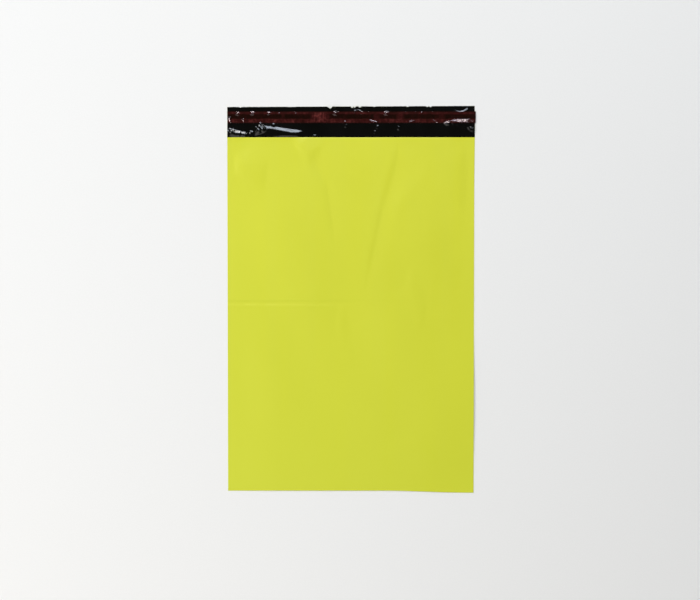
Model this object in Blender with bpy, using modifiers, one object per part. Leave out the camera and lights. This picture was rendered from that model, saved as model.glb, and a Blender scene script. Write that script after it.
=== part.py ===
"""A poly mailer bag lying flat on its back, empty and unsealed.

One sheet of film is folded at the bottom and welded along both sides. The back
panel runs on past the mouth as the lip, which carries a band of glue under a
peel-off liner. X runs across the bag, Y from the bottom fold to the lip, Z up.
The origin is under the middle of the bag, on the surface that it lies on.
"""

import math

import bmesh
import bpy
from mathutils import Vector

# The bag, laid flat
BAG_WIDTH = 0.250
POCKET_LENGTH = 0.359
LIP_LENGTH = 0.0305
FILM = 0.00006
# The bottom fold runs out of square: the right side is longer than the left
CORNER_DROP = 0.0021
CORNER_DROP_WIDTH = 0.088

# The side welds, and how far apart the two panels lie
WELD_WIDTH = 0.003
WELD_MARGIN = 0.001
WELD_GAP = 0.00006
WELD_BEAD = 0.0001
POCKET_GAP = 0.0009
FOLD_GAP = 0.0005
MOUTH_GAP = 0.0007
PANEL_SPREAD = 0.022

# The bag was packed folded in half: it rests on that crease and stands up a little beside it
CREASE_FROM_BOTTOM = 0.1910
CREASE_LIFT = 0.0004
CREASE_REACH = 0.012
CREASE_VALLEY = 0.0036

# Soft waves left by handling
BODY_WAVE = 0.0007
FRONT_WAVE = 0.0005
CORNER_LIFT = 0.0012
# Soft creases in the front panel. Each end is a share of half the width and a share of the way
# from the fold to the mouth. Then come the reach and the height.
FRONT_CREASES = (
    (-0.34, 0.94, -0.13, 0.69, 0.013, 0.0005),
    (0.37, 0.97, 0.10, 0.60, 0.015, 0.0007),
    (0.60, 0.90, 0.33, 0.79, 0.013, 0.0004),
)
# Puckers in the lip: place across the bag as a share of half its width, height above the mouth,
# reach across, reach along and rise
LIP_PUCKERS = (
    (-0.93, 0.002, 0.017, 0.011, 0.0009),
    (-0.56, 0.003, 0.026, 0.014, 0.0018),
    (-0.15, 0.028, 0.012, 0.022, 0.0012),
    (0.06, 0.027, 0.013, 0.020, 0.0010),
    (0.48, 0.014, 0.024, 0.020, 0.0008),
    (0.91, 0.013, 0.022, 0.016, 0.0016),
)

# The glue band and its peel-off liner
LINER_FROM_TOP = 0.0043
LINER_WIDTH = 0.0118
LINER_THICKNESS = 0.00005
GLUE_FROM_LINER_EDGE = 0.0030
GLUE_WIDTH = 0.0042
GLUE_THICKNESS = 0.0002
SEAT_GAP = 0.0003

# How finely the sheet is divided, and how far a weld's rows lie up from the sheet's
ROW_SHIFT = 0.0003
COLUMNS = 40
LIP_ROWS = 9
BODY_ROWS = 9
FOLD_ROWS = 6

LIME = (0.66, 0.70, 0.045, 1.0)
GLUE_BROWN = (0.055, 0.018, 0.014, 1.0)
LINER_RED = (0.42, 0.035, 0.03, 1.0)

HALF_WIDTH = BAG_WIDTH / 2
INNER_EDGE = HALF_WIDTH - WELD_WIDTH - WELD_MARGIN
TOP_Y = (POCKET_LENGTH + LIP_LENGTH + CORNER_DROP) / 2
MOUTH_Y = TOP_Y - LIP_LENGTH
FOLD_Y = MOUTH_Y - POCKET_LENGTH
CREASE_Y = FOLD_Y + CREASE_FROM_BOTTOM
GLUE_FROM_TOP = LINER_FROM_TOP + GLUE_FROM_LINER_EDGE


def ramp(value):
    """Rises smoothly from 0 to 1 as value goes from 0 to 1."""
    value = min(max(value, 0.0), 1.0)
    return value * value * (3 - 2 * value)


def mound(distance, reach):
    """A smooth hump, 1 at its middle and flat past its reach."""
    value = min(abs(distance) / reach, 1.0)
    return (1 - value * value) ** 2


def off_weld(x):
    """The nearest place that isn't on a weld: a welded edge is stiff, so it lies flat across."""
    return min(max(x, -INNER_EDGE), INNER_EDGE)


def fold_edge(x):
    """The y of the bottom fold's outer edge."""
    start = INNER_EDGE - CORNER_DROP_WIDTH
    return FOLD_Y - CORNER_DROP * ramp((off_weld(x) - start) / CORNER_DROP_WIDTH)


def lift(x, y):
    """How far the back panel stands off the surface under it. Most of it lies flat."""
    x = off_weld(x)
    fade = 1 - 0.75 * ramp((x + 0.1 * HALF_WIDTH) / HALF_WIDTH)
    valley = 1 - mound(y - CREASE_Y, CREASE_VALLEY)
    height = CREASE_LIFT * fade * valley * mound(y - CREASE_Y, CREASE_REACH)
    side = ramp((x - 0.4 * HALF_WIDTH) / (0.6 * HALF_WIDTH))
    height += CORNER_LIFT * side * mound(y - FOLD_Y - 0.25 * POCKET_LENGTH, 0.22 * POCKET_LENGTH)
    height += BODY_WAVE * mound(x + 0.5 * HALF_WIDTH, 0.4 * HALF_WIDTH) * mound(
        y - FOLD_Y - 0.76 * POCKET_LENGTH, 0.17 * POCKET_LENGTH
    )
    height += BODY_WAVE * mound(x - 0.35 * HALF_WIDTH, 0.5 * HALF_WIDTH) * mound(
        y - FOLD_Y - 0.72 * POCKET_LENGTH, 0.15 * POCKET_LENGTH
    )
    for place, above, across, along, rise in LIP_PUCKERS:
        height += rise * mound(x - place * HALF_WIDTH, across) * mound(y - MOUTH_Y - above, along)
    return height


def front_crease(x, along):
    """How far the soft creases raise the front panel."""
    here = Vector((x, along * POCKET_LENGTH))
    height = 0.0
    for x_start, along_start, x_end, along_end, reach, rise in FRONT_CREASES:
        start = Vector((x_start * HALF_WIDTH, along_start * POCKET_LENGTH))
        line = Vector((x_end * HALF_WIDTH, along_end * POCKET_LENGTH)) - start
        share = min(max((here - start).dot(line) / line.length_squared, 0.0), 1.0)
        height += rise * mound((here - start - line * share).length, reach)
    return height


def panel_gap(x, along):
    """The space between the two panels. along runs from 0 at the fold to 1 at the mouth."""
    across = ramp((INNER_EDGE - abs(x)) / PANEL_SPREAD)
    from_fold = along * POCKET_LENGTH
    middle = FOLD_GAP + (POCKET_GAP - FOLD_GAP) * ramp(from_fold / PANEL_SPREAD)
    middle += (MOUTH_GAP - POCKET_GAP) * ramp((from_fold - POCKET_LENGTH) / PANEL_SPREAD + 1)
    wave = math.sin(8.5 * x / HALF_WIDTH + 3.2 * along) * math.sin(9.0 * along + 1.5 * x / HALF_WIDTH)
    middle += FRONT_WAVE * wave * mound(along - 0.5, 0.5) + front_crease(x, along)
    return WELD_GAP + (middle - WELD_GAP) * across


def fold_radius(x):
    return (FILM + panel_gap(x, 0.0)) / 2


def fold_centre_y(x):
    return fold_edge(x) + fold_radius(x) + FILM / 2


def body_stations():
    """Places along the pocket, 0 at the fold and 1 at the mouth, closer together at the crease."""
    crease = CREASE_FROM_BOTTOM / POCKET_LENGTH
    reach = CREASE_REACH / POCKET_LENGTH
    near = [crease + reach * step for step in (-1.0, -0.6, -0.25, 0.0, 0.25, 0.6, 1.0)]
    below = [near[0] * step / BODY_ROWS for step in range(BODY_ROWS)]
    above = [near[-1] + (1 - near[-1]) * (step + 1) / BODY_ROWS for step in range(BODY_ROWS)]
    return below + near + above


def column_stations():
    """Places across the bag: the cut edges, the inner edges of the welds, and even steps between."""
    steps = COLUMNS - 2
    middle = [INNER_EDGE * (2 * step / steps - 1) for step in range(steps + 1)]
    return [-HALF_WIDTH] + middle + [HALF_WIDTH]


def panel_point(x, along, front):
    """A point on the middle of the film, on the back panel or on the front one."""
    start = fold_centre_y(x)
    y = start + (MOUTH_Y - start) * along
    z = FILM / 2 + lift(x, y)
    if front:
        z += FILM + panel_gap(x, along)
    return (x, y, z)


def fold_point(x, share):
    """A point on the round of the bottom fold, from the back panel to the front one."""
    radius = fold_radius(x)
    start = fold_centre_y(x)
    angle = math.pi * share
    y = start - radius * math.sin(angle)
    z = FILM / 2 + lift(x, start) + radius * (1 - math.cos(angle))
    return (x, y, z)


def sheet_rows():
    """One function of x for each row of the sheet, from the lip round the fold to the mouth."""
    rows = []
    for step in range(LIP_ROWS):
        y = TOP_Y - LIP_LENGTH * step / LIP_ROWS
        rows.append(lambda x, y=y: (x, y, FILM / 2 + lift(x, y)))
    for along in reversed(body_stations()):
        rows.append(lambda x, along=along: panel_point(x, along, False))
    for step in range(1, FOLD_ROWS):
        rows.append(lambda x, share=step / FOLD_ROWS: fold_point(x, share))
    for along in body_stations():
        rows.append(lambda x, along=along: panel_point(x, along, True))
    return rows


def weld_rows():
    """The rows of a side weld, midway between the panels, from inside the fold to just past the mouth."""
    level = (FILM + WELD_GAP) / 2

    def at(x, y):
        return (x, y, FILM / 2 + lift(x, y) + level)

    rows = [lambda x: at(x, fold_centre_y(x) - 0.7 * level)]
    for along in body_stations()[:-1]:
        rows.append(lambda x, along=along: at(x, panel_point(x, along, False)[1] + ROW_SHIFT))
    rows.append(lambda x: at(x, MOUTH_Y + WELD_BEAD))
    return rows


def lip_rows(distances, heights):
    """Rows across the lip at distances below its top edge, at heights over the film's upper face."""
    rows = []
    for distance, height in zip(distances, heights):
        y = TOP_Y - distance
        rows.append(lambda x, y=y, height=height: (x, y, FILM + lift(x, y) + height))
    return rows


def surface(name, columns, rows):
    """An open sheet: a grid whose every vertex is set by its row and column."""
    mesh = bpy.data.meshes.new(name)
    bm = bmesh.new()
    bmesh.ops.create_grid(bm, x_segments=len(columns) - 1, y_segments=len(rows) - 1, size=1)
    for vertex in bm.verts:
        column = round((vertex.co.x + 1) / 2 * (len(columns) - 1))
        row = round((vertex.co.y + 1) / 2 * (len(rows) - 1))
        vertex.co = rows[row](columns[column])
    bmesh.ops.recalc_face_normals(bm, faces=bm.faces)
    for face in bm.faces:
        face.smooth = True
    bm.to_mesh(mesh)
    bm.free()
    return bpy.data.objects.new(name, mesh)


def thicken(piece, thickness):
    """Gives an open sheet its thickness, half to each side, in flat triangles."""
    shell = piece.modifiers.new("thickness", "SOLIDIFY")
    shell.thickness = thickness
    shell.offset = 0
    shell.use_even_offset = True
    flats = piece.modifiers.new("flats", "TRIANGULATE")
    flats.quad_method = "FIXED"


def material(name, colour, roughness):
    made = bpy.data.materials.new(name)
    made.use_nodes = True
    made.diffuse_color = colour
    shader = made.node_tree.nodes["Principled BSDF"]
    shader.inputs["Base Color"].default_value = colour
    shader.inputs["Roughness"].default_value = roughness
    shader.inputs["Metallic"].default_value = 0.0
    return made


def make_weld(side, cutters):
    """The bead of melted film along one side, which joins the two panels."""
    outer = side * (HALF_WIDTH + WELD_BEAD)
    inner = side * (HALF_WIDTH - WELD_WIDTH)
    name = "weld_left" if side < 0 else "weld_right"
    weld = surface(name, sorted((outer, inner)), weld_rows())
    thicken(weld, FILM + WELD_GAP)
    cutters.objects.link(weld)
    weld.hide_render = True
    weld.display_type = "WIRE"
    return weld


def make_film_bag(parts, cutters):
    bag = surface("film_bag", column_stations(), sheet_rows())
    thicken(bag, FILM)
    parts.objects.link(bag)
    for side in (-1, 1):
        weld = make_weld(side, cutters)
        join = bag.modifiers.new(weld.name, "BOOLEAN")
        join.operation = "UNION"
        join.solver = "EXACT"
        join.object = weld
    bag.data.materials.append(material("lime_film", LIME, 0.38))
    return bag


def make_adhesive_strip(parts):
    edges = [GLUE_FROM_TOP, GLUE_FROM_TOP + GLUE_WIDTH / 2, GLUE_FROM_TOP + GLUE_WIDTH]
    height = SEAT_GAP + GLUE_THICKNESS / 2
    strip = surface("adhesive_strip", column_stations(), lip_rows(edges, [height] * 3))
    thicken(strip, GLUE_THICKNESS)
    parts.objects.link(strip)
    strip.data.materials.append(material("brown_glue", GLUE_BROWN, 0.3))
    return strip


def make_release_liner(parts):
    """The liner lies over the glue and comes down to the film on either side of it."""
    glue_end = GLUE_FROM_TOP + GLUE_WIDTH
    over_glue = [GLUE_FROM_TOP - SEAT_GAP, (GLUE_FROM_TOP + glue_end) / 2, glue_end + SEAT_GAP]
    edges = [LINER_FROM_TOP] + over_glue + [LINER_FROM_TOP + LINER_WIDTH]
    low = SEAT_GAP + LINER_THICKNESS / 2
    high = low + GLUE_THICKNESS + SEAT_GAP
    rows = lip_rows(edges, [low, high, high, high, low])
    liner = surface("release_liner", column_stations(), rows)
    thicken(liner, LINER_THICKNESS)
    parts.objects.link(liner)
    liner.data.materials.append(material("red_liner", LINER_RED, 0.12))
    return liner


def main():
    for old in list(bpy.data.objects):
        bpy.data.objects.remove(old, do_unlink=True)
    parts = bpy.data.collections.new("poly_mailer_bag")
    cutters = bpy.data.collections.new("joining_shapes")
    bpy.context.scene.collection.children.link(parts)
    bpy.context.scene.collection.children.link(cutters)
    make_film_bag(parts, cutters)
    make_adhesive_strip(parts)
    make_release_liner(parts)


main()
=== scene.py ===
"""The poly mailer bag as it looks: lime film with a black inside, lying flat under soft light."""

import math

import bpy
import numpy as np
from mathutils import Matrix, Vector


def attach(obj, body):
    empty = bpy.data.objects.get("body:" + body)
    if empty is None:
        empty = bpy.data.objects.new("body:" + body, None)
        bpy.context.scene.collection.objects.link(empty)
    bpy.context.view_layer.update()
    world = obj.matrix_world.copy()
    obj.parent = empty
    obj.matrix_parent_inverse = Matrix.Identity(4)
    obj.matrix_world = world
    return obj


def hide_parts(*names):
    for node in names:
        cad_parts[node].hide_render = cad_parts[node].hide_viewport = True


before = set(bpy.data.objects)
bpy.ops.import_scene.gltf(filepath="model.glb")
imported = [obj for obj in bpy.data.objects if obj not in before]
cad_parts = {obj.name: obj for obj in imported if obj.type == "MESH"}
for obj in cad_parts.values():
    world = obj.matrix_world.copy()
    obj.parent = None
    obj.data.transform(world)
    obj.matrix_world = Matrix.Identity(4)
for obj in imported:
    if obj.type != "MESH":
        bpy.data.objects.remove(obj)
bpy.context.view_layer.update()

# Sizes in millimetres, as in the CAD model
WIDTH = 250.0
POCKET = 359.0
LIP = 30.5
FILM = 0.06
CORNER_DROP = 2.1
CORNER_DROP_WIDTH = 88.0
WELD = 3.0
WELD_MARGIN = 1.0
WELD_GAP = 0.06
POCKET_GAP = 0.9
FOLD_GAP = 0.5
MOUTH_GAP = 0.7
PANEL_SPREAD = 22.0
CREASE_UP = 191.0
CREASE_REACH = 12.0
CREASE_VALLEY = 3.6
BODY_WAVE = 0.7
FRONT_WAVE = 0.5
CORNER_LIFT = 1.2
LINER_DOWN = 4.3
LINER_WIDTH = 11.8
GLUE_DOWN = 3.0
GLUE_WIDTH = 4.2
# These differ from it: its front panel rises from the welds over 22 mm, its crease across the
# middle stands 0.4 mm high, and its liner ends with the film
SIDE_SPREAD = 45.0
CREASE_LIFT = 0.2
LINER_OVERHANG = 0.9

# The CAD model's soft creases in the front panel, but lower: both ends as shares of half the width
# and of the way from the fold to the mouth, then reach and height
FRONT_CREASES = (
    (-0.34, 0.94, -0.13, 0.69, 13.0, 0.10),
    (0.37, 0.97, 0.10, 0.60, 15.0, 0.08),
    (0.60, 0.90, 0.33, 0.79, 13.0, 0.16),
)
# The CAD model's lip puckers. The first two and the last are lower here, and the first two shorter
# and farther up. Place as a share of half the width, height above the mouth, reach across, reach
# along, rise.
LIP_PUCKERS = (
    (-0.93, 4.0, 17.0, 10.0, 0.7),
    (-0.56, 5.0, 26.0, 11.0, 0.8),
    (-0.15, 28.0, 12.0, 22.0, 1.2),
    (0.06, 27.0, 13.0, 20.0, 1.0),
    (0.48, 14.0, 24.0, 20.0, 0.8),
    (0.91, 13.0, 22.0, 16.0, 0.9),
)
# The crease across the middle fades from this place to the right over this width. Its hump lies
# this far below it.
CREASE_FADE_FROM = -75.0
CREASE_FADE = 125.0
CREASE_LEAN = 2.0
# The right side stands up from this share of half the width on. Middle and reach of that are shares
# of the pocket.
LIFTED_FROM = 0.4
LIFTED_UP = 0.25
LIFTED_REACH = 0.22
# Humps of both panels: place and reach across as shares of half the width, place and reach along as
# shares of the pocket
BODY_HUMPS = ((-0.5, 0.4, 0.76, 0.17), (0.35, 0.5, 0.72, 0.15))
# The front panel's waves are a product of two, with these phases for half the width and the pocket
FRONT_WAVES = ((8.5, 3.2), (1.5, 9.0))

# Points lie this close to each cut edge, so that it stays crisp
EDGE = 0.02

# A millimetre in metres
MM = 0.001

HALF = WIDTH / 2
INNER = HALF - WELD - WELD_MARGIN
TOP = (POCKET + LIP + CORNER_DROP) / 2
MOUTH = TOP - LIP
FOLD = MOUTH - POCKET
CREASE = FOLD + CREASE_UP
LINER_TOP = TOP - LINER_DOWN


def ramp(value):
    """Rises smoothly from 0 to 1 as value goes from 0 to 1."""
    value = np.clip(value, 0.0, 1.0)
    return value * value * (3 - 2 * value)


def mound(distance, reach):
    """A smooth hump, 1 at its middle and flat past its reach."""
    value = np.minimum(np.abs(distance) / reach, 1.0)
    return (1 - value * value) ** 2


# Waves in each octave of an unevenness, and what their sum seldom passes
WAVES = 5
WAVES_PEAK = 2.2


def rough(x, y, scale, seed, octaves=3):
    """Smooth, repeatable unevenness between about -1 and 1, from crossed waves.

    scale is the pitch of the longest ones in millimetres.
    """
    rng = np.random.default_rng(seed)
    total = np.zeros_like(x)
    weight = 1.0
    norm = 0.0
    for octave in range(octaves):
        for _ in range(WAVES):
            angle = rng.uniform(0, 2 * math.pi)
            pitch = scale / 2**octave * rng.uniform(0.8, 1.3)
            phase = rng.uniform(0, 2 * math.pi)
            along = x * math.cos(angle) + y * math.sin(angle)
            total += weight * np.sin(2 * math.pi * along / pitch + phase)
        norm += weight * WAVES_PEAK
        weight *= 0.5
    return total / norm


def uneven(x, y, layers):
    """The sum of several: a height, a scale and a seed for each."""
    return sum(height * rough(x, y, scale, seed) for height, scale, seed in layers)


def from_line(x, y, points):
    """Distance from a line of points, positive on its left, and the values given along it.

    Each point is x, y and two values.
    """
    best = np.full_like(x, 1e9)
    side = np.zeros_like(x)
    first = np.zeros_like(x)
    second = np.zeros_like(x)
    for (ax, ay, a1, a2), (bx, by, b1, b2) in zip(points, points[1:]):
        length = math.hypot(bx - ax, by - ay)
        ux, uy = (bx - ax) / length, (by - ay) / length
        t = np.clip((x - ax) * ux + (y - ay) * uy, 0, length)
        dx, dy = x - ax - t * ux, y - ay - t * uy
        distance = np.hypot(dx, dy)
        nearer = distance < best
        best = np.where(nearer, distance, best)
        side = np.where(nearer, np.where(ux * dy - uy * dx > 0, distance, -distance), side)
        first = np.where(nearer, a1 + (b1 - a1) * t / length, first)
        second = np.where(nearer, a2 + (b2 - a2) * t / length, second)
    return side, first, second


# The slope of a crease's even flank, for a flank that falls by 1 over a reach of 1
EVEN_SLOPE = 1.25
# What the rounded ends add to a crease's flank, and the width below which it fades out
FLANK_MARGIN = 0.35
FLANK_END = 0.3
# The least reach of a soft crease, and the reach below which it fades out
RIDGE_LEAST = 0.5
RIDGE_END = 4.0


def slide(value):
    """From 0 to 1 at an even slope of 1.25, rounded over the first and the last fifth."""
    value = np.clip(value, 0.0, 1.0)
    end = np.minimum(value, 1 - value)
    low = np.where(end < 0.2, end * end / 0.32, EVEN_SLOPE * (end - 0.1))
    return np.where(value < 0.5, low, 1 - low)


def crease(x, y, points, behind=1.2):
    """A crease. Its even flank, centred on the line, falls to the left of it.

    Each point is x, y, the even flank's width and its slope. The other flank reaches behind times
    as far. A slope below 0 gives a valley.
    """
    side, width, steep = from_line(x, y, points)
    reach = EVEN_SLOPE * width + FLANK_MARGIN
    flank = 1 - slide(side / reach + 0.5)
    back = 1 - ramp((-side / reach - 0.5) / behind)
    return steep * reach / EVEN_SLOPE * flank * back * np.clip(width / FLANK_END, 0, 1)


def soft_ridge(x, y, points, height):
    """A round crease: the width at each point is how far it reaches."""
    side, width, _ = from_line(x, y, [(*point, 0) for point in points])
    return height * mound(side, np.maximum(width, RIDGE_LEAST)) * np.clip(width / RIDGE_END, 0, 1)


def bump(x, y, place, reach_x, reach_y, height):
    """A small oval hump."""
    return height * mound(np.hypot((x - place[0]) / reach_x, (y - place[1]) / reach_y), 1.0)


def off_weld(x):
    """The nearest place that isn't on a weld, which lies flat across."""
    return np.clip(x, -INNER, INNER)


def fold_edge(x):
    """The y of the bottom fold's outer edge."""
    start = INNER - CORNER_DROP_WIDTH
    return FOLD - CORNER_DROP * ramp((off_weld(x) - start) / CORNER_DROP_WIDTH)


def lift(x, y):
    """How far the back panel stands off the table, without the scene's fine relief."""
    x = off_weld(x)
    fade = 1 - ramp((x - CREASE_FADE_FROM) / CREASE_FADE)
    valley = 1 - mound(y - CREASE, CREASE_VALLEY)
    height = CREASE_LIFT * fade * valley * mound(y - CREASE + CREASE_LEAN, CREASE_REACH)
    side = ramp((x - LIFTED_FROM * HALF) / ((1 - LIFTED_FROM) * HALF))
    up = y - FOLD
    height = height + CORNER_LIFT * side * mound(up - LIFTED_UP * POCKET, LIFTED_REACH * POCKET)
    for place, across, middle, along in BODY_HUMPS:
        hump = mound(x - place * HALF, across * HALF) * mound(up - middle * POCKET, along * POCKET)
        height = height + BODY_WAVE * hump
    for place, above, across, along, rise in LIP_PUCKERS:
        pucker = rise * mound(x - place * HALF, across) * mound(y - MOUTH - above, along)
        height = height + pucker
    return height


def front_crease(x, along):
    """How far the soft creases that the CAD model has too raise the front panel."""
    height = 0.0
    for x_start, start, x_end, end, reach, rise in FRONT_CREASES:
        ends = [(x_start * HALF, start * POCKET, 0, 0), (x_end * HALF, end * POCKET, 0, 0)]
        side, _, _ = from_line(x, along * POCKET + 0 * x, ends)
        height = height + rise * mound(side, reach)
    return height


def panel_gap(x, along):
    """The room between the panels. along is a share of the way from the fold to the mouth."""
    across = ramp((INNER - np.abs(x)) / SIDE_SPREAD)
    up = along * POCKET
    middle = FOLD_GAP + (POCKET_GAP - FOLD_GAP) * ramp(up / PANEL_SPREAD)
    middle = middle + (MOUTH_GAP - POCKET_GAP) * ramp((up - POCKET) / PANEL_SPREAD + 1)
    wave = 1.0
    for across_phase, up_phase in FRONT_WAVES:
        wave = wave * np.sin(across_phase * x / HALF + up_phase * along)
    middle = middle + FRONT_WAVE * wave * mound(along - 0.5, 0.5) + front_crease(x, along)
    return WELD_GAP + (middle - WELD_GAP) * across


# Soft creases of the front panel that only the scene has: x, y and reach at each point, then the
# height
BODY_CREASES = (
    (((76, 130, 4), (58, 108, 8), (41, 91, 5)), 0.16),
    (((62, 26, 6), (64, 4, 18), (70, -20, 6)), 0.40),
    (((-10, -10, 5), (-8, -40, 11), (0, -62, 5)), 0.22),
    (((42, -150, 5), (66, -152, 20), (84, -166, 8)), 0.40),
)
# Sharper creases of the front panel: x, y, width and slope at each point
BODY_LINES = (
    ((13, 10, 0, -0.10), (20, 46, 3.0, -0.13), (31, 97, 3.2, -0.15), (44, 140, 3.2, -0.15),
     (48, 159, 0, -0.13)),
    ((-17, 54, 0, -0.08), (-20, 76, 1.9, -0.11), (-26, 112, 2.2, -0.15), (-38, 138, 2.4, -0.20),
     (-46, 150, 0, -0.16)),
    ((113, 161, 0, 0.04), (113, 142, 9.0, 0.055), (114, 110, 9.0, 0.055), (111, 66, 0, 0.04)),
    ((-42, 138, 0, 0.16), (-47, 147, 4.5, 0.22), (-54, 156, 4.5, 0.22), (-60, 163, 0, 0.18)),
    ((-88, 112, 0, 0.10), (-99, 119, 6.0, 0.15), (-111, 127, 7.0, 0.17), (-119, 133, 6.0, 0.17),
     (-125, 138, 0, 0.14)),
)


# How far the other flank of these reaches, in flanks
BODY_LINE_BEHIND = 4.0
# Unevenness of the front panel: height, scale and seed
BODY_UNEVEN = ((0.10, 70.0, 11), (0.030, 22.0, 12))
# Crinkles on the crease across the middle: their height, scale, seed and reach along the bag, and
# the place and reach of each patch across it
CRINKLE_HEIGHT, CRINKLE_SCALE, CRINKLE_SEED, CRINKLE_REACH = 0.13, 4.2, 13, 6.0
CRINKLE_PATCHES = ((-38.0, 16.0), (38.0, 13.0))


def body_relief(x, y):
    """Creases and soft dents of the front panel."""
    z = uneven(x, y, BODY_UNEVEN)
    for points, height in BODY_CREASES:
        z = z + soft_ridge(x, y, points, height)
    for points in BODY_LINES:
        z = z + crease(x, y, points, BODY_LINE_BEHIND)
    near = mound(y - CREASE + CREASE_LEAN, CRINKLE_REACH)
    patches = sum(mound(x - place, reach) for place, reach in CRINKLE_PATCHES)
    return z + CRINKLE_HEIGHT * near * patches * rough(x, y, CRINKLE_SCALE, CRINKLE_SEED)


# Creases of the lip that catch the light. Each point is x, height above the mouth, the width of the
# bright flank and the slope that it comes to. A slope of 0.27 towards the top mirrors the window,
# and 0.43 the lamp above it, or the one in the right corner where the flank faces that.
WINDOW = 0.27
LAMP = 0.43
CORNER = 0.43
LIP_CREASES = (
    # The big pucker
    ((-90.0, 12.0, 0, WINDOW), (-87.6, 10.8, 2.6, 0.245), (-81.5, 9.9, 3.6, 0.25),
     (-77.0, 9.2, 3.4, 0.25), (-71.0, 8.2, 3.2, WINDOW), (-65.0, 7.1, 3.7, WINDOW),
     (-60.0, 6.3, 4.0, WINDOW), (-55.0, 6.2, 3.4, WINDOW), (-51.0, 6.3, 1.9, WINDOW),
     (-46.6, 6.4, 0, WINDOW)),
    # The crease along the left corner
    ((-126.0, 6.9, 1.1, WINDOW), (-122.0, 6.6, 1.8, 0.30), (-119.2, 6.2, 2.4, 0.42),
     (-117.6, 6.0, 2.8, 0.445), (-115.8, 5.8, 2.8, 0.445), (-114.0, 5.5, 2.3, 0.44),
     (-112.4, 5.3, 2.6, LAMP), (-110.6, 4.9, 1.6, LAMP), (-108.2, 4.5, 2.2, LAMP),
     (-106.2, 4.1, 1.9, LAMP), (-104.4, 3.8, 0, LAMP)),
    ((-102.9, 6.3, 0, 0.36), (-101.4, 6.2, 1.5, 0.40), (-99.6, 5.8, 1.2, 0.38),
     (-98.2, 5.2, 0, 0.36)),
    # The arc beside the notch
    ((0.6, 25.0, 0, 0.28), (2.8, 26.8, 1.1, 0.28), (7.5, 27.9, 1.1, 0.28), (10.3, 27.0, 1.1, 0.33),
     (12.2, 25.4, 1.3, LAMP), (14.4, 23.8, 0, LAMP)),
    # Strokes on the liner's lower margin
    ((18.0, 18.2, 0, 0.29), (20.4, 17.4, 1.7, 0.29), (24.5, 16.1, 1.2, 0.29),
     (29.4, 15.0, 0, 0.29)),
    ((57.0, 15.0, 0, 0.25), (59.6, 16.0, 1.5, 0.25), (64.0, 17.4, 1.3, 0.25),
     (68.0, 17.8, 0, 0.25)),
    ((81.6, 18.4, 0, 0.32), (84.5, 17.0, 0.9, 0.34), (87.2, 15.0, 1.1, 0.38),
     (88.8, 13.6, 0, 0.38)),
    # The right end
    ((102.9, 28.4, 0, 0.28), (106.0, 27.2, 1.0, 0.29), (109.8, 26.1, 1.1, 0.31),
     (113.3, 26.5, 1.1, 0.36), (116.3, 28.3, 1.4, LAMP), (118.4, 30.0, 0, LAMP)),
    ((100.4, 16.9, 0, WINDOW), (103.0, 17.3, 2.2, WINDOW), (106.5, 17.3, 2.3, 0.29),
     (108.5, 17.1, 2.6, 0.42), (112.5, 17.0, 2.8, 0.435), (115.5, 17.0, 3.0, 0.435),
     (118.0, 16.9, 3.0, 0.435), (120.6, 16.6, 2.6, 0.435), (123.4, 16.0, 0, LAMP)),
    ((117.6, 11.4, 0, 0.36), (120.4, 10.3, 1.2, 0.42), (123.4, 9.2, 1.5, 0.38),
     (126.4, 8.2, 1.3, 0.30)),
    # A dent close above the mouth
    ((-39.8, 2.2, 0, 0.28), (-37.6, 2.4, 1.3, 0.28), (-34.8, 2.2, 1.2, 0.28),
     (-32.6, 1.8, 0, 0.28)),
)
# Short creases that fan out at the left end of the big pucker
LIP_STROKES = (
    ((-92.6, 15.6, 0, CORNER), (-90.8, 14.2, 1.2, CORNER), (-88.4, 11.6, 1.5, CORNER),
     (-86.2, 9.2, 1.2, CORNER), (-84.0, 6.8, 0, CORNER)),
    ((-94.2, 13.4, 0, 0.51), (-91.8, 11.2, 1.2, 0.51), (-89.2, 8.3, 1.4, 0.51),
     (-86.8, 5.6, 0, 0.51)),
    ((-96.6, 11.4, 0, 0.58), (-94.4, 9.2, 1.1, 0.58), (-92.0, 6.6, 1.3, 0.58),
     (-90.0, 4.2, 0, 0.58)),
)
# Creases with a steep back
LIP_NIPS = (
    ((-18.9, 28.7, 0.6, 0.25), (-16.0, 29.0, 0.9, 0.25), (-12.4, 29.5, 0, 0.25)),
    ((93.2, 14.6, 0, LAMP), (96.4, 15.1, 2.1, LAMP), (98.8, 15.5, 2.0, LAMP),
     (101.4, 16.5, 0, LAMP)),
)
# Each kind, and how far its other flanks reach
LIP_KINDS = ((LIP_CREASES, 2.2), (LIP_STROKES, 5.0), (LIP_NIPS, 0.8))
# Upright pleats of the lip: x, lower end, upper end and width. At this slope their left flanks
# mirror the key light. For each millimetre up they lean this far to the left.
SIDE_LAMP = 0.44
PLEAT_LEAN = 0.36
PLEATS = (
    (-122.4, 4.0, 9.0, 0.9),
    (-119.6, 4.0, 8.6, 0.8),
    (-122.7, 13.8, 20.6, 1.15),
    (-109.2, 14.4, 19.2, 0.75),
)
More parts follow.
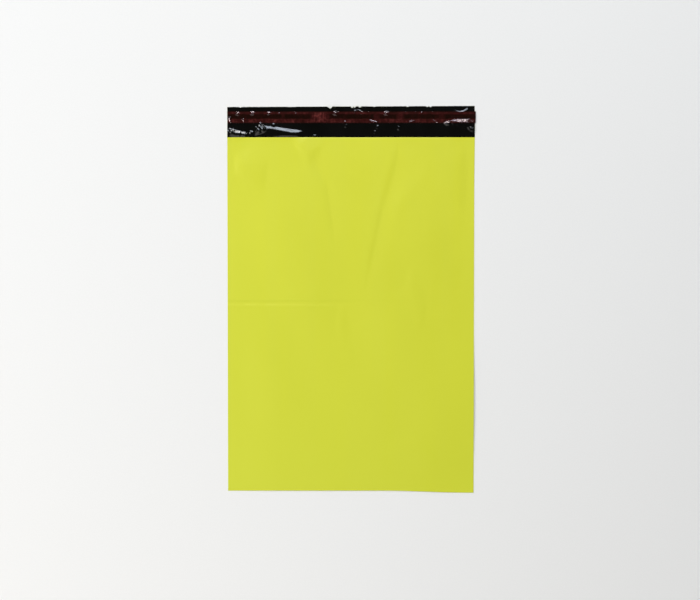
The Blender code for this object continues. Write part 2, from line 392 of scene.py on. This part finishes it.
# Small humps of the lip: x, height above the mouth, reach across, reach along, height
LIP_BUMPS = (
    (-114.5, 23.6, 3.2, 2.4, 0.76),
    (-99.5, 24.1, 4.2, 2.7, 0.83),
    (-82.9, 24.0, 3.4, 2.3, 0.66),
    (-15.0, 24.1, 4.6, 3.0, 0.99),
    (35.8, 24.1, 4.4, 2.9, 0.92),
    (-72.5, 23.8, 2.0, 2.0, 0.34),
    (-55.5, 23.8, 2.8, 2.0, 0.29),
    (71.5, 24.4, 2.0, 1.9, 0.32),
    (-5.0, 11.6, 3.0, 2.9, 0.57),
    (-5.8, 15.2, 2.2, 2.2, 0.43),
    (27.2, 10.2, 2.8, 3.2, 0.62),
    (24.4, 5.2, 2.8, 2.8, 0.54),
    (48.5, 9.2, 2.8, 3.2, 0.61),
    (-78.3, 12.6, 2.2, 2.2, 0.38),
)


# Unevenness of the lip: height, scale and seed
LIP_UNEVEN = ((0.04, 24.0, 21), (0.008, 7.0, 22))
# Height of the crumples in the left corner's crease and of the threads along the big pucker. Then
# for each the place and reach across, and the height above the mouth and reach along.
CRUMPLE_HEIGHT, CRUMPLE_AREA = 0.014, (-112.0, 16.0, 5.0, 4.0)
THREAD_HEIGHT, THREAD_AREA = 0.012, (-70.0, 26.0, 7.0, 6.0)
# Distance at which a slope is probed, and the least slope of a crease of the lip
PROBE = 0.1
LEAST_SLOPE = 0.04


def within(z, x, up, area):
    """The heights z, kept to an area."""
    place, across, above, along = area
    return z * mound(x - place, across) * mound(up - above, along)


def lip_relief(x, y):
    """Fine puckers of the lip, where the stiff liner has been creased with the film."""
    up = y - MOUTH
    z = uneven(x, y, LIP_UNEVEN)
    for creases, behind in LIP_KINDS:
        for points in creases:
            line = []
            for place, above, width, slope in points:
                # What the puckers already slope there is part of the whole slope
                below, beyond = (lift(place, MOUTH + above + step) for step in (-PROBE, PROBE))
                fall = float(below - beyond) / (2 * PROBE)
                line.append((place, above, width, max(slope - fall, LEAST_SLOPE)))
            z = z + crease(x, up, line, behind)
    for place, low, high, width in PLEATS:
        line = []
        for share, part in ((0, 0), (0.25, width), (0.75, width), (1, 0)):
            across = place + PLEAT_LEAN * (high - low) * (0.5 - share)
            line.append((across, low + (high - low) * share, part, SIDE_LAMP))
        z = z + crease(x, up, line)
    for place, above, across, along, height in LIP_BUMPS:
        z = z + bump(x, up, (place, above), across, along, height)
    z = z + within(CRUMPLE_HEIGHT * rough(x, 0.45 * up, 2.6, 24, 2), x, up, CRUMPLE_AREA)
    thread = rough(0.14 * (x - 2 * up), up + 0.17 * x, 2.1, 23, 2)
    z = z + within(THREAD_HEIGHT * thread, x, up, THREAD_AREA)
    # It fades out just below the mouth
    return z * ramp(up / 3.0 + 0.4)


# Nicks in the lip's top edge: x, reach to the left, reach to the right, depth
NICKS = (
    (-20.3, 4.6, 1.7, 2.1),
    (-111.6, 1.4, 1.2, 0.7),
    (1.4, 1.6, 0.9, 1.9),
    (3.6, 1.0, 1.6, 1.5),
    (8.9, 1.4, 2.2, 1.3),
    (23.9, 2.0, 1.6, 0.5),
    (57.5, 1.8, 1.4, 0.8),
    (77.2, 1.2, 1.6, 0.9),
    (80.8, 2.0, 1.0, 1.0),
    (-60.0, 6.0, 6.0, 0.25),
)


# The top edge stands this much higher at the left end, rises this much for each millimetre to the
# right, and is this uneven
TOP_START = 0.05
TOP_SLANT = 0.0045
TOP_UNEVEN = 0.06


def edge_notch(x):
    """How far the lip's top edge dips: a slight slant and a nick where each pucker crosses it."""
    dip = -TOP_START - TOP_SLANT * (x + HALF)
    for place, left, right, depth in NICKS:
        dip = dip + depth * mound(x - place, np.where(x < place, left, right))
    return dip + TOP_UNEVEN * rough(x, 0 * x, 6.0, 31)


def stands(x, y):
    """How far the lip and the back panel stand off the table, with the fine relief."""
    return np.maximum(lift(x, y) + lip_relief(x, y), 0)


# How much the bag splays at the right end of its mouth, how far in that begins, how far above the
# mouth its middle lies, and how far up and down it reaches
SPLAY = 0.4
SPLAY_WIDTH = 25.0
SPLAY_ABOVE = 8.0
SPLAY_REACH = 60.0


def beside(x, y):
    """The bag is a little wider at the right end of its mouth."""
    share = ramp((x - HALF + SPLAY_WIDTH) / SPLAY_WIDTH)
    return x + SPLAY * share * mound(y - MOUTH - SPLAY_ABOVE, SPLAY_REACH)


def doubled(columns):
    """The same places with one more between each two."""
    count = len(columns)
    return np.interp(np.arange(2 * count - 1) / 2, np.arange(count), columns)


# The top edge's dips bend the upper quarter of the lip's rows
BENT_ROWS = 0.25
# The front panel's relief comes in over these widths, beside the welds and above the fold
RELIEF_IN_ACROSS = 8.0
RELIEF_IN_UP = 6.0
# Over this width the front panel's edge at the mouth turns down, by this share of the room below it
TURN_WIDTH = 1.2
TURN_SHARE = 0.35


def sheet_points(columns, lip_steps, back_rows, front_rows, fold_steps, fine_reach):
    """Middle surface of the folded film, row by row from the lip round the fold to the mouth.

    Two bands come back. The first has twice the columns. It is the lip, with what lies close below
    the mouth.
    """
    fine = doubled(columns)
    lip = []
    for step in (1, 1 - EDGE / LIP, *np.linspace(1, 0, lip_steps, endpoint=False)[1:]):
        dip = edge_notch(fine) * ramp((step - (1 - BENT_ROWS)) / BENT_ROWS)
        y = MOUTH + LIP * step - dip
        lip.append(np.stack([beside(fine, y), y, FILM / 2 + stands(fine, y)], 1))
    body = []
    for along in reversed(back_rows):
        close = (1 - along) * POCKET < fine_reach
        x = fine if close else columns
        start = fold_start(x)
        y = start + (MOUTH - start) * along
        (lip if close else body).append(np.stack([beside(x, y), y, FILM / 2 + stands(x, y)], 1))
    x = columns
    start = fold_start(x)
    radius = (FILM + panel_gap(x, 0.0)) / 2
    base = FILM / 2 + stands(x, start)
    for share in np.linspace(0, 1, fold_steps + 1)[1:-1]:
        angle = math.pi * share
        y = start - radius * math.sin(angle)
        body.append(np.stack([x, y, base + radius * (1 - math.cos(angle))], 1))
    for along in front_rows:
        y = start + (MOUTH - start) * along
        gap = panel_gap(x, along)
        inside = ramp((INNER - np.abs(x)) / RELIEF_IN_ACROSS) * ramp(along * POCKET / RELIEF_IN_UP)
        turned = 1 - TURN_SHARE * ramp((y - MOUTH + TURN_WIDTH) / TURN_WIDTH)
        relief = body_relief(x, y) * inside
        z = FILM / 2 + stands(x, y) + FILM + np.maximum(gap * turned + relief, WELD_GAP)
        body.append(np.stack([beside(x, y), y, z], 1))
    return np.stack(lip), np.stack(body)


def fold_start(x):
    """Where the back panel ends and the fold begins."""
    return fold_edge(x) + (FILM + panel_gap(x, 0.0)) / 2 + FILM / 2


def band_faces(first, rows, cols):
    """The faces of a grid of points, of which the first has this number."""
    index = first + np.arange(rows * cols).reshape(rows, cols)
    corners = (index[:-1, :-1], index[:-1, 1:], index[1:, 1:], index[1:, :-1])
    return np.stack(corners, -1).reshape(-1, 4).tolist()


def grid_object(name, bands, materials, thickness, both_sides=None, values=None):
    """A sheet from bands of points in millimetres, given its thickness to both sides.

    Where a band follows another, that one has twice its columns. values holds numbers for each
    point that its material reads, by name.
    """
    faces = []
    first = 0
    for band, above in zip(bands, (None, *bands)):
        rows, cols = band.shape[:2]
        if above is not None:
            row = first - above.shape[1]
            for i in range(cols - 1):
                left = row + 2 * i
                faces.append((left, left + 1, left + 2, first + i + 1, first + i))
        faces += band_faces(first, rows, cols)
        first += rows * cols
    points = np.concatenate([band.reshape(-1, 3) for band in bands])
    mesh = bpy.data.meshes.new(name)
    mesh.from_pydata((points * MM).tolist(), [], faces)
    mesh.polygons.foreach_set("use_smooth", np.ones(len(faces), bool))
    for material in materials:
        mesh.materials.append(material)
    for key, numbers in (values or {}).items():
        mesh.attributes.new(key, "FLOAT", "POINT").data.foreach_set("value", numbers.ravel())
    piece = bpy.data.objects.new(name, mesh)
    bpy.context.scene.collection.objects.link(piece)
    shell = piece.modifiers.new("thickness", "SOLIDIFY")
    shell.thickness = thickness * MM
    shell.offset = 0
    shell.use_even_offset = True
    if both_sides:
        shell.material_offset, shell.material_offset_rim = both_sides
    return piece


# Materials

PLASTIC_IOR = 1.5
# The share of air under the liner at which it is loose from the glue, below that of a bubble
LOOSE = 0.4


def new_material(name):
    """A material with its nodes, links, shader and object coordinates."""
    material = bpy.data.materials.new(name)
    material.use_nodes = True
    nodes = material.node_tree.nodes
    coords = nodes.new("ShaderNodeTexCoord").outputs["Object"]
    return material, nodes, material.node_tree.links, nodes["Principled BSDF"], coords


def noise(nodes, links, coords, scale, detail=4.0, roughness=0.55, stretch=None):
    """A noise of so many waves to the metre."""
    source = coords
    if stretch:
        mapping = nodes.new("ShaderNodeMapping")
        mapping.inputs["Scale"].default_value = stretch
        links.new(coords, mapping.inputs["Vector"])
        source = mapping.outputs["Vector"]
    texture = nodes.new("ShaderNodeTexNoise")
    texture.inputs["Scale"].default_value = scale
    texture.inputs["Detail"].default_value = detail
    texture.inputs["Roughness"].default_value = roughness
    links.new(source, texture.inputs["Vector"])
    return texture.outputs["Fac"]


def spread(nodes, links, value, low, high, start=0.3, end=0.7):
    """Maps a value from start and end to low and high, and no farther."""
    node = nodes.new("ShaderNodeMapRange")
    node.inputs["From Min"].default_value = start
    node.inputs["From Max"].default_value = end
    node.inputs["To Min"].default_value = low
    node.inputs["To Max"].default_value = high
    links.new(value, node.inputs["Value"])
    return node.outputs["Result"]


def product(nodes, links, first, second):
    """The product of two values."""
    node = nodes.new("ShaderNodeMath")
    node.operation = "MULTIPLY"
    links.new(first, node.inputs[0])
    links.new(second, node.inputs[1])
    return node.outputs["Value"]


def blend_colour(nodes, links, factor, first, second):
    """From the first colour to the second. Each is a tuple or another node's output."""
    node = nodes.new("ShaderNodeMix")
    node.data_type = "RGBA"
    links.new(factor, node.inputs["Factor"])
    for socket, colour in ((node.inputs["A"], first), (node.inputs["B"], second)):
        if isinstance(colour, tuple):
            socket.default_value = (*colour, 1.0)
        else:
            links.new(colour, socket)
    return node.outputs["Result"]


def add_bump(nodes, links, shader, layers):
    """Stacks bumps. Each layer is a height, its distance in metres and its strength."""
    normal = None
    for height, distance, strength in layers:
        node = nodes.new("ShaderNodeBump")
        node.inputs["Distance"].default_value = distance
        node.inputs["Strength"].default_value = strength
        links.new(height, node.inputs["Height"])
        if normal is not None:
            links.new(normal, node.inputs["Normal"])
        normal = node.outputs["Normal"]
    links.new(normal, shader.inputs["Normal"])


# How the crease across the middle is painted: a painted highlight below it and painted shade above
# it, standing in for how the light falls on its two flanks. Middle and reach of each band, where it
# ends at the right, the strength of its fainter parts, colour.
CREASE_HIGHLIGHT_AND_SHADE = (
    (CREASE - 1.2, 1.3, 10.0, 0.25, (0.688, 0.715, 0.050)),
    (CREASE + 2.4, 1.9, 55.0, 0.6, (0.611, 0.646, 0.028)),
)
# They fade from here on to the right
BAND_FADE_FROM = -85.0


def lime_film():
    material, nodes, links, shader, coords = new_material("lime_film")
    cloud = noise(nodes, links, coords, scale=9.0, detail=3.0)
    streak = noise(nodes, links, coords, 60.0, 3.0, roughness=0.6, stretch=(1.0, 0.03, 1.0))
    fine = noise(nodes, links, coords, scale=900.0, detail=2.0)
    dull, bright = (0.647, 0.668, 0.030), (0.671, 0.690, 0.033)
    worn, low_shade = (0.622, 0.656, 0.038), (0.622, 0.660, 0.030)
    colour = blend_colour(nodes, links, spread(nodes, links, cloud, 0.0, 1.0), dull, bright)
    colour = blend_colour(nodes, links, spread(nodes, links, streak, 0.0, 0.2), colour, worn)
    split = nodes.new("ShaderNodeSeparateXYZ")
    links.new(coords, split.inputs["Vector"])
    x, y = split.outputs["X"], split.outputs["Y"]
    # Painted shade: the colour is a little darker towards the fold, standing in for the sheen and
    # light that fade down the bag
    painted_downward_shade = spread(nodes, links, y, 1.0, 0.0, FOLD * MM, MOUTH * MM)
    colour = blend_colour(nodes, links, painted_downward_shade, colour, low_shade)
    patchy = noise(nodes, links, coords, scale=45.0, detail=3.0)
    # Painted highlight below the crease and painted shade above it, in patchy bands that fade to
    # the right
    for middle, reach, end, low, shade in CREASE_HIGHLIGHT_AND_SHADE:
        rise = spread(nodes, links, y, 0.0, 1.0, (middle - reach) * MM, middle * MM)
        fall = spread(nodes, links, y, 1.0, 0.0, middle * MM, (middle + reach) * MM)
        fade = spread(nodes, links, x, 1.0, 0.0, BAND_FADE_FROM * MM, end * MM)
        parts = spread(nodes, links, patchy, low, 1.0, 0.42, 0.58)
        line = product(nodes, links, rise, fall)
        band = product(nodes, links, line, product(nodes, links, fade, parts))
        colour = blend_colour(nodes, links, band, colour, shade)
    links.new(colour, shader.inputs["Base Color"])
    links.new(spread(nodes, links, streak, 0.43, 0.51), shader.inputs["Roughness"])
    shader.inputs["IOR"].default_value = PLASTIC_IOR
    ripple = noise(nodes, links, coords, scale=55.0, detail=3.0)
    layers = [(ripple, 0.0006, 0.12), (streak, 0.0003, 0.10), (fine, 0.00004, 0.35)]
    add_bump(nodes, links, shader, layers)
    return material


def black_film():
    material, nodes, links, shader, coords = new_material("black_film")
    cloud = noise(nodes, links, coords, scale=40.0, detail=4.0)
    fine = noise(nodes, links, coords, scale=1200.0, detail=2.0)
    plain, grey = (0.0021, 0.0020, 0.0014), (0.0032, 0.0031, 0.0026)
    colour = blend_colour(nodes, links, spread(nodes, links, cloud, 0.0, 1.0), plain, grey)
    links.new(colour, shader.inputs["Base Color"])
    links.new(spread(nodes, links, cloud, 0.10, 0.15), shader.inputs["Roughness"])
    shader.inputs["IOR"].default_value = PLASTIC_IOR
    ripple = noise(nodes, links, coords, scale=190.0, detail=2.0)
    add_bump(nodes, links, shader, [(ripple, 0.0006, 0.04), (fine, 0.00003, 0.15)])
    return material


def brown_glue():
    material, nodes, links, shader, coords = new_material("brown_glue")
    cloud = noise(nodes, links, coords, scale=160.0, detail=4.0)
    dark, light = (0.008, 0.003, 0.002), (0.018, 0.006, 0.004)
    colour = blend_colour(nodes, links, spread(nodes, links, cloud, 0.0, 1.0), dark, light)
    links.new(colour, shader.inputs["Base Color"])
    links.new(spread(nodes, links, cloud, 0.28, 0.42), shader.inputs["Roughness"])
    add_bump(nodes, links, shader, [(cloud, 0.0002, 0.4)])
    return material


def red_liner():
    """Clear red film: dark where the glue wets it, brighter where air lies under it."""
    material, nodes, links, shader, coords = new_material("red_liner")
    air = nodes.new("ShaderNodeAttribute")
    air.attribute_name = "air_under"
    mottle = noise(nodes, links, coords, scale=420.0, detail=3.0)
    grain = product(nodes, links, air.outputs["Fac"], spread(nodes, links, mottle, 0.72, 1.28))
    low = spread(nodes, links, grain, 0.0, 1.0, 0.0, LOOSE)
    high = spread(nodes, links, grain, 0.0, 1.0, LOOSE, 1.0)
    wet, loose, bubble = (0.0078, 0.0026, 0.0009), (0.040, 0.0064, 0.0056), (0.17, 0.036, 0.031)
    colour = blend_colour(nodes, links, low, wet, loose)
    colour = blend_colour(nodes, links, high, colour, bubble)
    links.new(colour, shader.inputs["Base Color"])
    links.new(spread(nodes, links, mottle, 0.10, 0.16), shader.inputs["Roughness"])
    shader.inputs["IOR"].default_value = PLASTIC_IOR
    shader.inputs["Alpha"].default_value = 0.9
    shader.inputs["Specular Tint"].default_value = (1.0, 0.86, 0.89, 1.0)
    ripple = noise(nodes, links, coords, scale=210.0, detail=2.0)
    add_bump(nodes, links, shader, [(ripple, 0.0006, 0.04), (mottle, 0.0001, 0.06)])
    return material


def paper():
    material, nodes, links, shader, coords = new_material("pale_floor")
    fine = noise(nodes, links, coords, scale=700.0, detail=3.0)
    dark, light = (0.836, 0.829, 0.812), (0.854, 0.847, 0.830)
    colour = blend_colour(nodes, links, spread(nodes, links, fine, 0.0, 1.0), dark, light)
    links.new(colour, shader.inputs["Base Color"])
    shader.inputs["Roughness"].default_value = 0.9
    shader.inputs["Specular IOR Level"].default_value = 0.15
    return material


# Pieces


# Places in a side weld, from the cut edge
WELD_PLACES = (0.0, EDGE, 0.7, 1.6, WELD, WELD + WELD_MARGIN)
# Rows close to the mouth and to the fold, in millimetres from them
NEAR_MOUTH = (EDGE, 0.3, 0.7, 1.2, 2.0, 3.5, 5.5, 8.0, 11.0)
NEAR_FOLD = (0.4, 1.0, 2.0)
# How far from the crease across the middle its own rows reach, first those that crowd towards it
# and then the even ones
CROWDED = 12.0
EVEN = 4.5
# The even rows keep these shares away from the ones at the mouth and at the crease
OFF_MOUTH = 0.004
OFF_CREASE = 0.03


def side_stations(count):
    """Places across the bag, from cut edge to cut edge, closer together at the welds."""
    left = [-HALF + place for place in WELD_PLACES[:-1]] + [-INNER]
    inner = list(np.linspace(-INNER, INNER, count))[1:-1]
    return np.array(left + inner + [-place for place in reversed(left)])


def body_rows(count, near_crease):
    """Places from the fold to the mouth as shares: close at the crease, the mouth and the fold."""
    mouth = 1 - np.array(NEAR_MOUTH) / POCKET
    fold = np.array(NEAR_FOLD) / POCKET
    crowded = (CREASE_UP + CROWDED * np.linspace(-1, 1, near_crease) ** 3) / POCKET
    even = (CREASE_UP + np.linspace(-EVEN, EVEN, near_crease)) / POCKET
    rows = np.linspace(0, 1, count)
    off_crease = np.abs(rows - CREASE_UP / POCKET) > OFF_CREASE
    rows = rows[(rows < mouth[-1] - OFF_MOUTH) & off_crease]
    return list(np.unique(np.concatenate([rows, crowded, even, mouth, fold, [1.0]])))


def make_film():
    bands = sheet_points(
        side_stations(198),
        lip_steps=50,
        back_rows=body_rows(24, 3),
        front_rows=body_rows(52, 7),
        fold_steps=7,
        fine_reach=3.0,
    )
    film = grid_object("film_bag_sheet", bands, [lime_film(), black_film()], FILM, (1, 0))
    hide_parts("film_bag")
    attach(film, "root")


# Air bubbles under the liner: place, reach and strength
BUBBLES = ((-31, 11, 1.0), (26, 4, 0.5), (50, 5, 0.65), (92, 4.5, 0.4), (-68.4, 2.2, 0.35))
# Air under the liner's upper and lower margins, and where the glue wets it
TOP_AIR = 0.34
LOW_AIR = 0.44
WET_AIR = 0.04
# The lower margin is pressed down again over this width, and loses this share of its air there
PRESSED_WIDTH = 1.0
PRESSED_SHARE = 0.6


def air_under(x, down):
    """How far the liner stands off: 0 where the glue wets it, up to 1 in a bubble."""
    wobble = 0.25 * rough(x, down, 9.0, 41, 2)
    top = 1 - ramp((down + wobble - GLUE_DOWN + 0.5) / 0.8)
    low = ramp((down + wobble - GLUE_DOWN - GLUE_WIDTH + 0.2) / 0.9)
    pleats = rough(x, 0.25 * down, 3.2, 42, 3)
    blotch = rough(x, down, 14.0, 43, 2)
    pressed = 1 - PRESSED_SHARE * ramp((down - LINER_WIDTH + PRESSED_WIDTH) / PRESSED_WIDTH)
    margin = TOP_AIR * top * ramp(down / 0.9) + LOW_AIR * low * pressed
    margin = margin * (1 + 0.30 * pleats + 0.25 * blotch)
    wet = WET_AIR + 0.08 * np.maximum(pleats, 0) + 0.04 * blotch
    air = np.maximum(margin, wet)
    grain = rough(x, 0.12 * down, 1.7, 47, 2) + 0.4 * rough(x, down, 5.5, 48, 2)
    for place, reach, strength in BUBBLES:
        bubble = mound(x - place, reach) * ramp(down / 2.0) * ramp((LINER_WIDTH - down) / 1.5)
        air = np.maximum(air, strength * np.sqrt(bubble) * (0.62 + 0.24 * grain))
    return np.clip(air, 0.02, 1.2)


def edged(low, high, count):
    """Evenly spaced places, with one more close to each end."""
    return np.array([low, low + EDGE, *np.linspace(low, high, count)[1:-1], high - EDGE, high])


# Columns of the glue and of the liner
STRIP_COLUMNS = 501
# How far in the liner's overhang begins. It swells by this share about this far down, over this
# reach.
SPILL_WIDTH = 3.0
SPILL_SWELL, SPILL_DOWN, SPILL_REACH = 0.2, 3.5, 6.0
# Thickness of the glue and the liner, and how high the middle of each lies over the film: the glue
# rises from its edges over a width, and the liner climbs it over another
GLUE_THICKNESS = 0.06
GLUE_STAND, GLUE_RISE, GLUE_EASE = 0.05, 0.03, 0.8
LINER_THICKNESS = 0.04
LINER_STAND, LINER_RISE, LINER_EASE = 0.07, 0.08, 1.8


def lip_sheet(name, downs, heights, material, thickness, overhang=0.0, shade=None):
    """A strip along the lip, at heights over it, at distances below the liner's top edge."""
    columns = edged(-HALF, HALF, STRIP_COLUMNS)
    rows = []
    for down, height in zip(downs, heights):
        y = LINER_TOP - down + 0 * columns
        swell = 1 + SPILL_SWELL * mound(down - SPILL_DOWN, SPILL_REACH)
        spill = overhang * swell * ramp((columns - HALF + SPILL_WIDTH) / SPILL_WIDTH)
        z = FILM + stands(columns, y) + height
        rows.append(np.stack([beside(columns, y) + spill, y, z], 1))
    values = None
    if shade:
        values = {"air_under": np.stack([shade(columns, down + 0 * columns) for down in downs])}
    piece = grid_object(name, [np.stack(rows)], [material], thickness, values=values)
    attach(piece, "root")
    return piece


def make_glue():
    end = GLUE_DOWN + GLUE_WIDTH
    downs = edged(GLUE_DOWN, end, 8)
    inside = np.minimum(downs - GLUE_DOWN, end - downs)
    heights = GLUE_STAND + GLUE_RISE * ramp(inside / GLUE_EASE)
    piece = lip_sheet("glue_band", downs, heights, brown_glue(), GLUE_THICKNESS)
    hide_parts("adhesive_strip")


def make_liner():
    downs = edged(0, LINER_WIDTH, 30)
    start = ramp((downs - GLUE_DOWN + LINER_EASE) / LINER_EASE)
    end = ramp((GLUE_DOWN + GLUE_WIDTH + LINER_EASE - downs) / LINER_EASE)
    heights = LINER_STAND + LINER_RISE * (start * end)
    piece = lip_sheet(
        "liner_film",
        downs,
        heights,
        red_liner(),
        LINER_THICKNESS,
        overhang=LINER_OVERHANG,
        shade=air_under,
    )
    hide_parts("release_liner")


# Stage

# Place, what it points at, width and height, power and colour. The window and the lamp lie where
# flanks of WINDOW and LAMP mirror them, and the corner lamp where flanks of CORNER that face the
# top right do. The key is at the left and the fill at the bag's foot.
LIGHTS = {
    "window": ((-0.06, 1.70, 2.25), (0, 0.1, 0), (1.6, 0.30), 21.5, (0.83, 0.93, 1.07)),
    "lamp": ((-0.25, 2.30, 1.93), (0, 0.1, 0), (1.6, 0.15), 33.0, (1.0, 0.99, 0.98)),
    "corner": ((1.3, 1.7, 1.9), (0, 0.1, 0), (0.3, 0.3), 9.9, (0.96, 0.99, 1.0)),
    "key": ((-1.8, -0.2, 1.55), (0, 0, 0), (0.5, 0.5), 21.8, (1.0, 0.99, 0.97)),
    "fill": ((-0.6, -1.2, 1.2), (0, 0, 0), (1.9, 1.9), 14.3, (1.03, 0.99, 0.93)),
}
# Half the floor's side and how far it lies below the bag, in metres
FLOOR_HALF = 6
FLOOR_DROP = 0.0002
# The camera looks down at the bag, about two degrees off the upright
CAMERA_PLACE = (-0.00083, 0.054, 1.677)
CAMERA_TARGET = (-0.00083, 0.0006, 0.0)
LENS = 85
SENSOR = 36


def area_light(name, place, target, size, power, colour):
    data = bpy.data.lights.new(name, "AREA")
    data.shape = "RECTANGLE"
    data.size, data.size_y = size
    data.energy = power
    data.color = colour
    lamp = bpy.data.objects.new(name, data)
    lamp.location = place
    lamp.rotation_euler = (Vector(target) - Vector(place)).to_track_quat("-Z", "Y").to_euler()
    bpy.context.scene.collection.objects.link(lamp)


def make_stage():
    mesh = bpy.data.meshes.new("floor")
    corners = [(x * FLOOR_HALF, y * FLOOR_HALF, 0) for x, y in ((-1, -1), (1, -1), (1, 1), (-1, 1))]
    mesh.from_pydata(corners, [], [(0, 1, 2, 3)])
    mesh.materials.append(paper())
    floor = bpy.data.objects.new("floor", mesh)
    floor.location.z = -FLOOR_DROP
    bpy.context.scene.collection.objects.link(floor)
    for name, values in LIGHTS.items():
        area_light(name, *values)
    make_world()
    bpy.context.scene.view_settings.view_transform = "Standard"


def make_world():
    """A room that is pale near the floor and dark overhead: the flat film reflects little."""
    world = bpy.data.worlds.new("studio")
    world.use_nodes = True
    nodes, links = world.node_tree.nodes, world.node_tree.links
    split = nodes.new("ShaderNodeSeparateXYZ")
    links.new(nodes.new("ShaderNodeTexCoord").outputs["Generated"], split.inputs["Vector"])
    upward = spread(nodes, links, split.outputs["Z"], 0.0, 1.0, 0.06, 0.36)
    pale, dark = (0.76, 0.77, 0.79), (0.026, 0.028, 0.030)
    colour = blend_colour(nodes, links, upward, pale, dark)
    background = nodes["Background"]
    links.new(colour, background.inputs["Color"])
    background.inputs["Strength"].default_value = 1.0
    bpy.context.scene.world = world


def make_camera():
    data = bpy.data.cameras.new("camera")
    data.lens = LENS
    data.sensor_width = SENSOR
    data.clip_start = 0.05
    data.clip_end = 20
    camera = bpy.data.objects.new("camera", data)
    place, target = Vector(CAMERA_PLACE), Vector(CAMERA_TARGET)
    camera.location = place
    camera.rotation_euler = (-math.atan2(place.y - target.y, place.z), 0, 0)
    bpy.context.scene.collection.objects.link(camera)
    bpy.context.scene.camera = camera


make_camera()
make_stage()
make_film()
make_glue()
make_liner()
